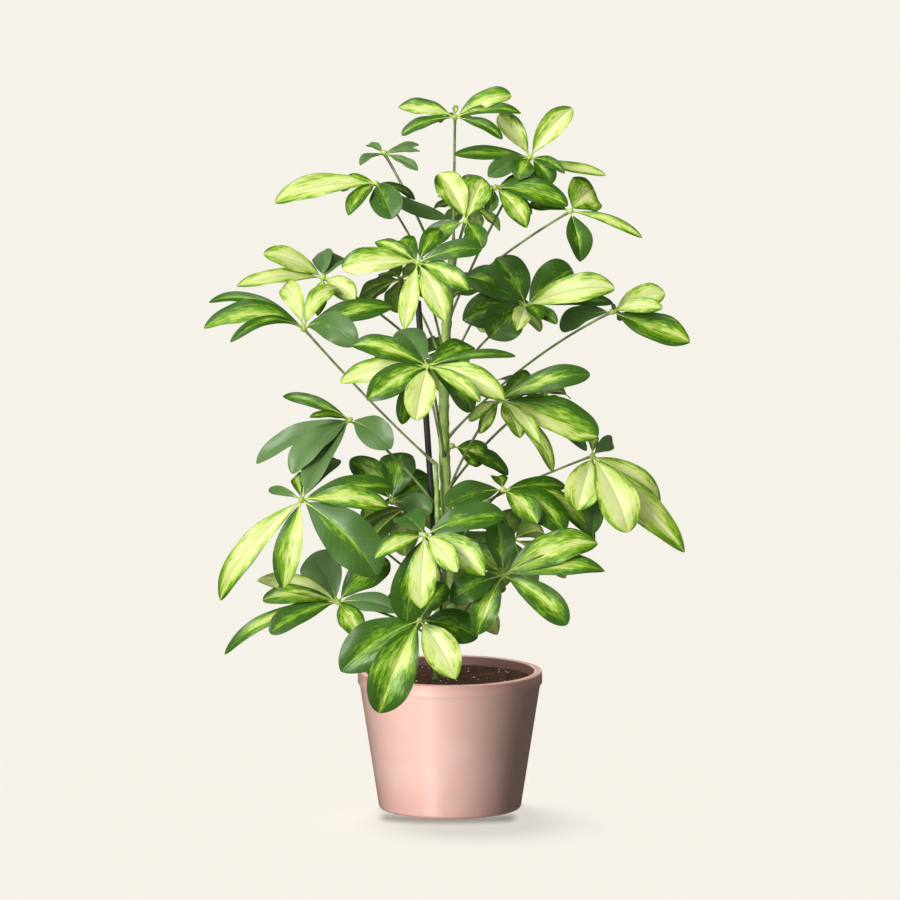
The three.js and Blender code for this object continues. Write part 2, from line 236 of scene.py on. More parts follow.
foot_arc = []
for step in range(FOOT_STEPS + 1):
    turn = math.pi / 2 * step / FOOT_STEPS
    radius = FOOT_RADIUS - FOOT_ROUND + FOOT_ROUND * math.sin(turn)
    foot_arc.append((radius, FOOT_ROUND * (1 - math.cos(turn))))
pot = turned(
    "pot_body",
    [
        (0, 0),
        *foot_arc,
        (body_radius - side_slope * BAND_SOFTNESS, body_top - BAND_SOFTNESS),
        (rim_radius, body_top + BAND_SOFTNESS),
        (rim_radius - LIP_TAPER, pot_height),
        (mouth_radius, pot_height),
        (inner_radius(POT_FLOOR), POT_FLOOR),
        (0, POT_FLOOR),
    ],
    POT_SIDES,
)
rounded(pot, POT_CORNER, POT_CORNER_STEPS, POT_SHARP)
smoothed(pot, POT_SHARP)

glaze, tree, shader = finish_named("pink glaze", 0.42, coat=0.3, coat_roughness=0.48)
place = object_place(tree)
mottle = specks(tree, place, scale=22, detail=3)
rings = specks(tree, object_place(tree, (3, 3, 260)), scale=3)
grains = specks(tree, place, scale=900)
across, back, height = parts_of(tree, place)
out = far(tree, across, back)
# painted shade: the glaze is darker towards the foot
foot_shade = spread(tree, height, 0.0, FOOT_SHADE_TOP, FOOT_SHADE, 0.0)
colour = blended(tree, foot_shade, POT_PINK, POT_SHADE)
colour = blended(tree, spread(tree, mottle, 0.45, 0.75, 0, 0.35), colour, POT_LIGHT)
colour = blended(tree, spread(tree, grains, 0.62, 0.75, 0, 0.25), colour, POT_SHADE)
# painted shade under the lip: the band is darkest along its top edge and fades downwards
up_band = maths(tree, "MULTIPLY_ADD", height, 1 / BAND_HEIGHT, 1 - pot_height / BAND_HEIGHT)
lip_shade = maths(tree, "POWER", maths(tree, "MAXIMUM", up_band, 0.0), 2.0)
lip_shade = maths(tree, "MULTIPLY_ADD", lip_shade, LIP_SHADE, BAND_SHADE)
on_band = spread(tree, out, rim_radius - 2 * MM, rim_radius - 0.8 * MM)
colour = blended(tree, maths(tree, "MULTIPLY", lip_shade, on_band), colour, POT_SHADE)
# painted shade: the inner wall, above the pot's floor, is darker as if in shadow
# both walls taper alike, so what is left of the radius without the taper tells them apart
straight = maths(tree, "MULTIPLY_ADD", height, -side_slope, out)
inside = spread(tree, straight, inner_radius(0) + 0.3 * MM, inner_radius(0) + MM, 1.0, 0.0)
high_up = spread(tree, height, POT_FLOOR, 2 * POT_FLOOR)
coloured(tree, shader, blended(tree, maths(tree, "MULTIPLY", inside, high_up), colour, POT_INSIDE_SHADE))
tree.links.new(spread(tree, mottle, 0.2, 0.8, 0.36, 0.5), shader.inputs["Roughness"])
height = maths(tree, "MULTIPLY_ADD", rings, 0.5, grains)
bumped(tree, shader, height, strength=0.12, distance=0.4 * MM)
pot.data.materials.append(glaze)
fixed(pot, "pot")


# ----------------------------------------
# Soil: dark potting soil of peat and fine bark with white grains of perlite. It was
# pressed down by hand to a little below the rim and lies higher round the stems.
# ----------------------------------------
SOIL_GRID = 96
SOIL_DEPTH = 40 * MM
SOIL_GAP = 0.9 * MM
SOIL_SINK = 1.2 * MM
SOIL_EDGE_DROP = 2.2 * MM
SOIL_LUMP = 1.5 * MM
SOIL_LUMP_SCALE = 90
SOIL_CRUMB = 0.9 * MM
SOIL_CRUMB_SCALE = 420
SOIL_DARK = screen(38, 24, 16)
SOIL_BROWN = screen(82, 54, 36)
BARK = screen(90, 59, 39)
BARK_BITS = 260
BARK_SIZES = (0.8 * MM, 2.2 * MM)
BARK_FLATNESS = 0.5
PERLITE = screen(226, 220, 208)
PERLITE_PORES = screen(168, 158, 142)
PERLITE_GRAINS = 60
PERLITE_SIZES = (0.5 * MM, 1.0 * MM)
PERLITE_FLATNESS = 0.8
BIT_LENGTH = 1.3
BIT_WIDTH = 0.8
BIT_ROUGHNESS = (0.75, 1.2)

soil_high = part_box("soil")[1]
soil_edge = inner_radius(soil_high.z) - SOIL_GAP
soil_bottom = pot_height - SOIL_DEPTH


def soil_height(x, y):
    """The soil's surface above one place: a low mound with lumps and crumbs."""
    out = min(1, math.hypot(x, y) / soil_edge)
    mound = soil_high.z - SOIL_SINK - SOIL_EDGE_DROP * out**2
    lump = noise.noise(Vector((x, y, 0.3)) * SOIL_LUMP_SCALE)
    crumb = noise.noise(Vector((x, y, 1.7)) * SOIL_CRUMB_SCALE)
    return mound + (SOIL_LUMP * lump + SOIL_CRUMB * crumb) * (1 - 0.6 * out**8)


bpy.ops.mesh.primitive_grid_add(x_subdivisions=SOIL_GRID, y_subdivisions=SOIL_GRID, size=2)
soil = bpy.context.object
soil.name = "soil_bed"
opened(soil)
bpy.ops.mesh.region_to_loop()
bpy.ops.mesh.extrude_region_move(TRANSFORM_OT_translate={"value": (0, 0, -1)})
bpy.ops.mesh.edge_face_add()
bpy.ops.object.mode_set(mode="OBJECT")
for point in soil.data.vertices:
    x, y, z = point.co
    # a square's ring of cells becomes a ring of the round bed
    longest = max(abs(x), abs(y))
    length = math.hypot(x, y)
    factor = longest / length if length else 0
    x, y = x * factor * soil_edge, y * factor * soil_edge
    if z < 0:
        narrow = inner_radius(soil_bottom) / mouth_radius
        point.co = (x * narrow, y * narrow, soil_bottom)
    else:
        point.co = (x, y, soil_height(x, y))
faced_outwards(soil)
smoothed(soil, 60)

peat, tree, shader = finish_named("potting soil", 0.95, specular=0.2)
place = object_place(tree)
clods = specks(tree, place, scale=300, detail=4, roughness=0.65)
dust = specks(tree, place, scale=1500, detail=3, roughness=0.7)
colour = blended(tree, spread(tree, clods, 0.4, 0.7), SOIL_DARK, SOIL_BROWN)
coloured(tree, shader, blended(tree, spread(tree, dust, 0.62, 0.72, 0, 0.5), colour, BARK))
height = maths(tree, "MULTIPLY_ADD", dust, 0.4, clods)
bumped(tree, shader, height, strength=0.9, distance=1.2 * MM)
soil.data.materials.append(peat)
fixed(soil, "soil")


def joined(name, pieces):
    """Several pieces as one, under a new name."""
    bpy.ops.object.select_all(action="DESELECT")
    for piece in pieces:
        piece.select_set(True)
    bpy.context.view_layer.objects.active = pieces[0]
    bpy.ops.object.join()
    whole = bpy.context.object
    whole.name = name
    whole.data.name = name
    return whole


def scattered(name, count, sizes, flatness, finish, draws):
    """Small rough bits, half sunk in the soil, one modelled and the rest copied from it."""
    bpy.ops.mesh.primitive_ico_sphere_add(subdivisions=1, radius=1)
    first = bpy.context.object
    bits = []
    for _ in range(count):
        bit = first.copy()
        bit.data = first.data.copy()
        bpy.context.collection.objects.link(bit)
        out = soil_edge * 0.97 * math.sqrt(draws.random())
        way = draws.uniform(0, math.tau)
        x, y = out * math.cos(way), out * math.sin(way)
        size = draws.uniform(*sizes)
        spin = draws.uniform(0, math.tau)
        for point in bit.data.vertices:
            rough = Vector(point.co) * draws.uniform(*BIT_ROUGHNESS)
            long, wide = rough.x * BIT_LENGTH, rough.y * BIT_WIDTH
            point.co = (
                x + size * (long * math.cos(spin) - wide * math.sin(spin)),
                y + size * (long * math.sin(spin) + wide * math.cos(spin)),
                soil_height(x, y) + size * flatness * (rough.z + 0.2),
            )
        bits.append(bit)
    bpy.data.objects.remove(first)
    whole = joined(name, bits)
    whole.data.materials.clear()
    whole.data.materials.append(finish)
    fixed(whole, "soil")
    return whole


bark_skin, tree, shader = finish_named("bark crumbs", 0.9, specular=0.25)
grain = specks(tree, object_place(tree, (1, 1, 3)), scale=700, detail=3)
patch = specks(tree, object_place(tree), scale=60, detail=1)
colour = blended(tree, spread(tree, patch, 0.4, 0.6), SOIL_DARK, BARK)
coloured(tree, shader, blended(tree, spread(tree, grain, 0.4, 0.7, 0, 0.6), colour, SOIL_BROWN))
bumped(tree, shader, grain, strength=0.6, distance=0.5 * MM)
crumbs = scattered(
    "bark_crumbs", BARK_BITS, BARK_SIZES, BARK_FLATNESS, bark_skin, random.Random(3)
)

perlite_skin, tree, shader = finish_named("perlite", 0.85, specular=0.3)
pores = specks(tree, object_place(tree), scale=1600)
coloured(tree, shader, blended(tree, spread(tree, pores, 0.45, 0.7), PERLITE, PERLITE_PORES))
bumped(tree, shader, pores, strength=0.5, distance=0.3 * MM)
perlite = scattered(
    "perlite_grains", PERLITE_GRAINS, PERLITE_SIZES, PERLITE_FLATNESS, perlite_skin, random.Random(8)
)


# ----------------------------------------
# Support rod: a thin black rod of plastic-coated steel with fine ridges, pushed into
# the soil behind the main stem. The plant leans on it.
# ----------------------------------------
ROD_RADIUS = 3.1 * MM
ROD_SIDES = 20
ROD_FOOT = Vector((-1, 17, 60)) * MM
ROD_TOP = Vector((-32, 15, 511.6)) * MM
ROD_ROUND = 1.4 * MM
ROD_ROUND_STEPS = 4
ROD_BLACK = screen(30, 31, 33)
ROD_WORN = screen(62, 62, 60)

rod_way = ROD_TOP - ROD_FOOT
bpy.ops.mesh.primitive_cylinder_add(vertices=ROD_SIDES, radius=ROD_RADIUS, depth=rod_way.length)
rod = bpy.context.object
rod.name = "support_rod"
rounded(rod, ROD_ROUND, ROD_ROUND_STEPS, 60)
rod.rotation_mode = "QUATERNION"
rod.rotation_quaternion = Vector((0, 0, 1)).rotation_difference(rod_way)
rod.location = (ROD_FOOT + ROD_TOP) / 2
bpy.ops.object.transform_apply(location=True, rotation=True, scale=True)
smoothed(rod, 40)

coating, tree, shader = finish_named("black coating", 0.45)
scuff = specks(tree, object_place(tree, (1, 1, 0.2)), scale=500, detail=3)
ridge = specks(tree, object_place(tree, (0.05, 0.05, 1)), scale=700, detail=1)
coloured(tree, shader, blended(tree, spread(tree, scuff, 0.58, 0.75, 0, 0.6), ROD_BLACK, ROD_WORN))
tree.links.new(spread(tree, scuff, 0.3, 0.7, 0.38, 0.6), shader.inputs["Roughness"])
bumped(tree, shader, ridge, strength=0.5, distance=0.5 * MM)
rod.data.materials.append(coating)
fixed(rod, "stake")


# ----------------------------------------
# Stems: two green stems that root in the soil. Each is ringed by the scars of old
# leaves, swells where a leaf stalk leaves it, and turns woody towards its foot.
# ----------------------------------------
STEM_POINTS = 150
STEM_RINGS = 2
STEM_RADIUS = 6 * MM
SECOND_STEM_RADIUS = 3.1 * MM
STEM_TAPER = 0.28
STEM_TIP = 0.55
NODE_SWELL = 0.16
NODE_REACH = 2.6 * MM
SCAR_STEP = 17 * MM
MAIN_STEM = [
    (2, 0, 50), (1, 0, 140), (-2, 2, 260), (-6, 0, 380), (-4, -2, 480), (4, 2, 572),
]
SECOND_STEM = [(-16, -16, 60), (-14, -14, 150), (-12, -13, 250), (-14, -11, 352)]
STEM_GREEN = screen(154, 184, 96)
STEM_OLIVE = screen(122, 150, 70)
STEM_WOOD = screen(134, 122, 88)
STEM_SCAR = screen(90, 84, 56)

# the height in millimetres at which each leaf's stalk leaves its stem
MAIN_STALKS = {
    "leaf_01": 565, "leaf_02": 490, "leaf_03": 545, "leaf_04": 515, "leaf_05": 500, "leaf_06": 520,
    "leaf_07": 440, "leaf_09": 455, "leaf_10": 420, "leaf_11": 370, "leaf_12": 350, "leaf_13": 316,
    "leaf_14": 290, "leaf_15": 290, "leaf_17": 160, "leaf_18": 240, "leaf_19": 205, "leaf_20": 175,
    "leaf_22": 245, "leaf_23": 336, "leaf_24": 520, "leaf_25": 520, "leaf_26": 430, "leaf_27": 445,
    "leaf_28": 345, "leaf_29": 320, "leaf_30": 225, "leaf_31": 195, "leaf_32": 155,
}
SECOND_STALKS = {"leaf_08": 350, "leaf_16": 215, "leaf_21": 150}


def through(knots, count):
    """Evenly drawn points on a smooth line through the knots, which are in millimetres."""
    knots = [Vector(knot) * MM for knot in knots]
    ends = [2 * knots[0] - knots[1], *knots, 2 * knots[-1] - knots[-2]]
    points = []
    for i in range(count):
        place = i / (count - 1) * (len(knots) - 1)
        span = min(int(place), len(knots) - 2)
        t = place - span
        a, b, c, d = ends[span : span + 4]
        curve = 2 * b + (c - a) * t
        curve += (2 * a - 5 * b + 4 * c - d) * t**2 + (3 * b - a - 3 * c + d) * t**3
        points.append(curve / 2)
    return points


def as_tubes(name, lines, rings):
    """A mesh of round lines, each given by its points and its radius at each."""
    curve = bpy.data.curves.new(name, "CURVE")
    curve.dimensions = "3D"
    curve.bevel_depth = 1.0
    curve.bevel_resolution = rings
    curve.use_fill_caps = True
    for points, radii in lines:
        line = curve.splines.new("POLY")
        line.points.add(len(points) - 1)
        for knot, point, radius in zip(line.points, points, radii):
            knot.co = (*point, 1)
            knot.radius = radius
    piece = bpy.data.objects.new(name, curve)
    bpy.context.collection.objects.link(piece)
    only(piece)
    bpy.ops.object.convert(target="MESH")
    piece = bpy.context.object
    faced_outwards(piece)
    smoothed(piece, 50)
    return piece


green_bark, tree, shader = finish_named("green bark", 0.5)
along_grain = specks(tree, object_place(tree, (1, 1, 0.12)), scale=900, detail=3)
rings = specks(tree, object_place(tree, (0.05, 0.05, 1)), scale=420)
pattern = specks(tree, object_place(tree, (1, 1, 0.5)), scale=120)
height = parts_of(tree, object_place(tree))[2]
woody = spread(tree, height, 0.13, 0.36, 0.35, 0.0)
colour = blended(tree, spread(tree, pattern, 0.35, 0.65), STEM_GREEN, STEM_OLIVE)
colour = blended(tree, woody, colour, STEM_WOOD)
colour = blended(tree, spread(tree, rings, 0.6, 0.7, 0, 0.35), colour, STEM_SCAR)
coloured(tree, shader, blended(tree, spread(tree, along_grain, 0.5, 0.75, 0, 0.15), colour, STEM_SCAR))
height = maths(tree, "MULTIPLY_ADD", rings, 0.6, along_grain)
bumped(tree, shader, height, strength=0.35, distance=0.7 * MM)


def stem(name, node, knots, radius, stalks):
    """One stem, thinner towards its top, with a low ring at each scar and each stalk."""
    points = through(knots, STEM_POINTS)
    swellings = [height * MM for height in stalks.values()]
    swellings += list(np.arange(points[0].z, points[-1].z - SCAR_STEP, SCAR_STEP))
    radii = []
    for i, point in enumerate(points):
        size = radius * (1 - STEM_TAPER * i / len(points))
        swell = max(math.exp(-(((point.z - h) / NODE_REACH) ** 2)) for h in swellings)
        radii.append(size * (1 + NODE_SWELL * swell))
    radii[-1] *= STEM_TIP
    grown = as_tubes(name, [(points, radii)], STEM_RINGS)
    grown.data.materials.append(green_bark)
    fixed(grown, node)
    return points


main_line = stem("main_stem", "stem_main", MAIN_STEM, STEM_RADIUS, MAIN_STALKS)
second_line = stem("second_stem", "stem_second", SECOND_STEM, SECOND_STEM_RADIUS, SECOND_STALKS)


# ----------------------------------------
# Leaves: each is a thin stalk that ends in a small knob with a ring of leaflets, like
# the ribs of an umbrella. A leaflet is glossy and leathery, cream in its middle and
# green at its edges, paler below, and hangs a little from its arched midrib.
# ----------------------------------------
VIEW_TILT = math.radians(9.3)

# hub is across, up and back from the foot of the pot on the front view, in millimetres,
# and faces is where the upper sides look. A leaflet is its tip across, up and back from
# the hub, its width and its tone. A tone above 0 is the share of cream, and one below 0 is
# how far a painted sheen greys its green. A leaflet may end with how far its cream lies to
# its clockwise edge, how far to its tip, and its own arch. arch is one for all of a leaf's
# leaflets, and bow is how far its stalk bows upwards.
LEAVES = {
    "leaf_01": dict(hub=(5, 690, 0), faces=(0, -0.7, 0.7), leaflets=[
        (-57, 11, 8, 19, 0.6, -0.3), (-54, -16, -14, 14, 0.1), (56, 24, 6, 22, 0.65, 0.3),
        (66, 7, -12, 14, 0.15), (48, -20, -22, 14, 0.1), (-14, -4, 46, 14, 0.3), (24, -6, 48, 14, 0.3),
        (1, 12, 2, 6, 0.4),
    ]),
    "leaf_02": dict(hub=(80, 650, 8), faces=(0.1, -0.9, 0.5), leaflets=[
        (-32, 44, 22, 22, 0.8, -0.25), (43, 51, 20, 25, 0.8, 0.25), (-76, 3, -22, 15, 0.1, 0, 0, 0.08),
        (76, -15, 6, 12, 0.7, 0, 0.6, -0.04), (-42, -19, -24, 21, -0.2), (34, -14, -32, 12, 0.1),
        (-12, -22, -24, 24, 0.2), (22, -26, -20, 20, 0.1),
    ]),
    "leaf_03": dict(hub=(45, 620, -14), faces=(0.2, -0.8, 0.6), leaflets=[
        (73, -18, -4, 27, 0.25), (60, 4, 30, 24, 0.3), (32, -40, -22, 24, 0.5), (37, -27, 16, 14, 0.1),
        (-40, 2, 20, 19, 0.4), (-6, -26, -20, 15, 0.1),
    ]),
    "leaf_04": dict(hub=(120, 596, -20), faces=(0.3, -0.9, 0.4), bow=10, leaflets=[
        (11, -50, -26, 27, 0), (72, -26, -6, 11, 0.5), (24, 23, 40, 42, 0.5), (-42, 6, 34, 14, 0.2),
    ]),
    "leaf_05": dict(hub=(-74, 624, -10), faces=(-0.2, -0.8, 0.6), leaflets=[
        (-102, -17, -8, 26, 0.75, 0, 0, 0.13), (-28, -29, -50, 19, 0.3), (16, -34, -44, 33, -0.1),
        (72, -33, 14, 15, -0.3, 0, 0, -0.17), (40, -16, 40, 10, 0.1), (-40, -4, 56, 17, 0.4),
    ]),
    "leaf_06": dict(hub=(-66, 655, 40), faces=(0, -0.3, 1), arch=0.05, leaflets=[
        (34, -16, -20, 13, -0.7), (-24, -10, -38, 14, -0.7), (35, 10, 30, 11, -0.7),
        (36, 2, 5, 11, -0.7), (-17, 10, 34, 11, -0.7),
    ]),
    "leaf_07": dict(hub=(-127, 530, 34), faces=(-0.2, -0.8, 0.6), leaflets=[
        (-59, 25, -10, 24, 0.8), (-86, -8, -16, 19, 0.8), (0, 28, 50, 22, -0.6),
        (22, 20, 52, 26, -0.6), (32, -22, -30, 24, 0.8), (-5, -37, -44, 17, 0.6),
    ]),
    "leaf_08": dict(hub=(-146, 479, -20), faces=(-0.2, -0.8, 0.6), arch=0.38, bow=-8, leaflets=[
        (-100, 1, -10, 27, 0.35, -0.35), (-97, 30, 24, 13, 0.1, 0, 0, 0.28), (-73, -13, -40, 12, 0.05),
        (-21, 44, 46, 22, 0.85), (35, 44, 28, 22, 0.7), (90, 23, 10, 27, 0.2, 0, 0, 0.11),
        (51, -16, -50, 31, -0.35),
    ]),
    "leaf_09": dict(hub=(-32, 544, -100), faces=(0, -0.8, 0.6), leaflets=[
        (-76, -4, -10, 29, 0.75, -0.3), (-43, 21, 30, 17, 0.4), (-13, -66, -25, 20, 0.8),
        (27, -58, -28, 26, 0.8), (50, -26, -34, 22, 0.5), (64, 15, 0, 22, 0.1), (22, 34, 40, 20, 0.15),
        (-20, 26, 50, 22, 0.1),
    ]),
    "leaf_10": dict(hub=(76, 501, -20), faces=(0.1, -0.9, 0.5), leaflets=[
        (-30, 49, 10, 38, 0), (-58, 32, -6, 34, 0.05), (-63, -13, -20, 38, 0.15),
        (-36, -31, -30, 41, 0), (47, 38, 20, 38, 0), (88, 21, -10, 31, 0.85, 0, 0, 0.12),
        (-8, -21, -60, 19, 0.9), (14, -13, -55, 17, 0.1), (30, -16, -45, 15, 0), (88, 4, 12, 15, 0.05),
    ]),
    "leaf_11": dict(hub=(162, 496, -10), faces=(0.2, -0.8, 0.6), bow=26, leaflets=[
        (-53, -17, 30, 24, -0.3), (53, 19, 16, 26, 0.8), (50, 4, -14, 17, 0.7),
        (78, -27, -10, 34, 0.3, 0, 0.6, -0.04), (8, -6, 62, 17, 0.3),
    ]),
    "leaf_12": dict(hub=(-22, 441, -125), faces=(0, -0.8, 0.6), leaflets=[
        (-76, 23, 4, 27, 0.3), (-30, 37, 50, 31, -0.4), (-88, -15, -10, 26, 0.85, -0.25),
        (-60, -33, -30, 31, 0.3), (-12, -53, -45, 31, 0.95), (-26, -60, 20, 20, 0.05),
        (46, -45, 14, 27, 0.05), (77, -33, -20, 29, 0.75), (52, -35, -44, 17, 0.6),
        (47, 20, 30, 29, 0.1), (88, 11, 6, 10, 0),
    ]),
    "leaf_13": dict(hub=(50, 408, -75), faces=(0.2, -0.8, 0.6), leaflets=[
        (90, 26, 0, 25, 0.3, 0, -0.6), (35, 26, 50, 19, 0.1), (98, -36, -10, 42, 0.5, 0.4, 0, 0.07),
        (88, -50, 10, 20, -0.3), (40, -42, -50, 16, 0.7), (56, -70, -20, 18, 0.65),
        (-30, -20, -30, 12, 0.6), (-20, -34, -20, 14, 0.5), (20, -38, -30, 24, 0.55),
    ]),
    "leaf_14": dict(hub=(142, 352, -60), faces=(0.3, -0.9, 0.4), bow=6, leaflets=[
        (-15, -54, -30, 36, 0.8), (36, -76, -34, 41, 0.85), (95, -93, -6, 36, 0.75, 0, -0.4, -0.04),
        (70, -49, 20, 24, 0.7), (0, -80, -4, 20, -0.2), (23, 15, 40, 16, -0.5), (1, 24, 20, 11, 0.4),
    ]),
    "leaf_15": dict(hub=(-100, 388, 10), faces=(-0.2, -0.8, 0.6), leaflets=[
        (-69, 25, 16, 13, 0.15), (-40, 3, -30, 10, 0.2), (-96, -42, 0, 22, -0.6),
        (-60, -50, -50, 30, -0.6), (-44, -69, -58, 27, -0.45, 0.3), (40, -27, -40, 32, -0.5),
    ]),
    "leaf_16": dict(hub=(-148, 308, -55), faces=(-0.2, -0.9, 0.5), leaflets=[
        (36, 45, 66, 24, -0.6), (-6, 25, 58, 14, 0.3), (94, 14, 14, 23, 0.1), (86, -6, -10, 24, 0.5),
        (76, -75, -40, 52, -0.12), (-86, -100, -8, 27, 0.85, 0, -0.6), (-19, -89, -24, 28, 0.6, -0.4),
        (-34, 10, 30, 10, -0.4),
    ]),
    "leaf_17": dict(hub=(-112, 206, -30), faces=(-0.2, -0.8, 0.6), leaflets=[
        (-81, 22, 10, 22, 0.9), (-76, 4, -4, 21, 0.45), (-38, 27, 44, 22, 0.3),
        (-68, -31, -20, 26, 0.1), (-117, -50, -10, 15, 0.55, 0, -0.8, 0.2), (-28, 47, 36, 41, -0.6),
        (52, 41, 26, 34, 0.25), (60, -8, -30, 24, -0.5), (22, -35, -44, 26, 0.35),
    ]),
    "leaf_18": dict(hub=(-58, 306, 20), faces=(0, -0.8, 0.6), leaflets=[
        (-42, 43, 14, 31, 0.25), (10, 52, 24, 38, 0.05), (-30, -16, -50, 17, 0.5),
        (38, -10, -30, 26, -0.4), (36, 28, 30, 28, 0.05),
    ]),
    "leaf_19": dict(hub=(-25, 273, -130), faces=(0, -0.9, 0.5), leaflets=[
        (-5, -73, -26, 31, 0.85), (-18, -87, 0, 38, 0.1), (-47, -11, -20, 13, 0.1),
        (-50, -21, -34, 17, 0.6), (32, -36, -50, 24, 0.8), (59, -40, -30, 36, 0.7),
        (80, 21, 0, 31, 0.05), (-25, 20, 60, 31, -0.2),
    ]),
    "leaf_20": dict(hub=(53, 233, -110), faces=(0.1, -0.9, 0.5), leaflets=[
        (-5, 52, 30, 30, 0.05), (-42, 26, 30, 31, 0.5), (95, 36, 10, 36, 0.5), (102, 7, -6, 25, 0.3),
        (64, -49, -20, 30, 0.3), (-53, -26, -10, 31, 0), (-26, -60, -14, 27, 0.3),
    ]),
    "leaf_21": dict(hub=(-30, 188, -95), faces=(0, -0.9, 0.5), leaflets=[
        (-79, -51, -14, 46, 0.1), (-40, -93, -30, 46, 0.35), (35, -58, -34, 36, 0.9),
        (59, -17, 10, 36, 0.05), (26, 37, 30, 26, 0.15),
    ]),
    "leaf_22": dict(hub=(53, 318, -60), faces=(0.1, -0.8, 0.6), leaflets=[
        (62, -41, -30, 38, 0.2, 0, 0, 0.25), (34, -33, -46, 26, 0.5), (-58, -15, -30, 31, -0.1),
        (95, -50, 10, 26, 0.4, 0, 0, 0.3), (-6, 14, 42, 17, 0.2), (64, 4, 24, 19, 0.1, 0, 0, 0.1),
    ]),
    "leaf_23": dict(hub=(2, 362, -14), faces=(0, -0.8, 0.6), arch=0.12, leaflets=[
        (33, -15, 6, 29, 0.3), (58, -28, 12, 19, 0.05),
    ]),
    "leaf_24": dict(hub=(16, 586, -42), faces=(0, -0.9, 0.5), leaflets=[
        (-27, 48, 20, 31, 0.75, 0.25), (18, 44, 26, 31, 0.6), (-41, -23, 10, 22, 0.2),
        (16, -27, -40, 22, 0.1),
    ]),
}

# The leaves at the back carry even rings: how many leaflets, their length and their width.
BACK_LEAVES = {
    "leaf_25": dict(hub=(20, 604, 90), faces=(0.1, 0.6, 0.8), ring=(7, 39, 19)),
    "leaf_26": dict(hub=(45, 520, 125), faces=(0.3, 0.6, 0.8), ring=(7, 58, 28)),
    "leaf_27": dict(hub=(-50, 530, 120), faces=(-0.3, 0.6, 0.8), ring=(7, 53, 26)),
    "leaf_28": dict(hub=(-30, 452, 140), faces=(-0.1, 0.7, 0.8), ring=(8, 58, 27)),
    "leaf_29": dict(hub=(95, 414, 100), faces=(0.5, 0.5, 0.8), ring=(7, 56, 27)),
    "leaf_30": dict(hub=(-44, 300, 140), faces=(-0.2, 0.7, 0.7), ring=(7, 68, 30)),
    "leaf_31": dict(hub=(64, 268, 130), faces=(0.4, 0.7, 0.7), ring=(7, 68, 30)),
    "leaf_32": dict(hub=(-8, 212, 140), faces=(-0.1, 0.8, 0.6), ring=(7, 68, 30)),
}
RING_DROOP = 0.3
RING_SPREAD = 0.22

STALK_MIDDLE = 0.45
STALK_BOW = 18
STALK_POINTS = 18
STALK_RADIUS = 1.35 * MM
STALK_FOOT_RADIUS = 2.7 * MM
STALK_FOOT_REACH = 0.06
STALK_TOP_RADIUS = 1.9 * MM
STALK_TOP_REACH = 0.05
KNOB_RADIUS = 3.2 * MM
RIB_POINTS = 10
RIB_END = 0.9
RIB_RADIUS = 1.05 * MM
RIB_TAPER = 0.85
RIB_SINK = 0.35 * MM
BLADE_ARCH = 0.15
BLADE_LEAN = 0.4
BLADE_THICKNESS = 0.5 * MM
BLADE_COLUMNS = 12
BLADE_ROWS = 22
BLADE_START = 5 * MM
BLADE_FOLD = 0.46
BLADE_ROLL = 0.24
BLADE_RIPPLE = 0.1
BLADE_TWIST = 0.3
BLADE_CURL = 0.05
CURL_START = 0.6
BASE_FULLNESS = 0.95
TIP_FULLNESS = 0.62
EDGE_MINIMUM = 0.4 * MM

LEAF_DARK = screen(44, 84, 0)
LEAF_GREEN = screen(102, 146, 10)
LEAF_LIME = screen(142, 170, 64)
LEAF_YELLOW = screen(178, 193, 100)
LEAF_CREAM = screen(197, 206, 148)
LEAF_SHEEN_GREY = screen(104, 134, 84)
LEAF_BELOW = screen(130, 154, 88)
LEAF_STALK = screen(86, 102, 64)
LEAF_KNOB = screen(120, 138, 80)
LEAF_RIB = screen(176, 196, 104)

CREAM_MIDDLE = 0.48
CREAM_SHIFT = 0.35
CREAM_TAPER = 1.7
CREAM_GAIN = 1.45
CREAM_START = -0.27
PATCH_REACH = 1.3
FINGER_REACH = 1.5
MOTTLE_REACH = 1.2
VEIN_SLANT = 0.2
VEINS = 11


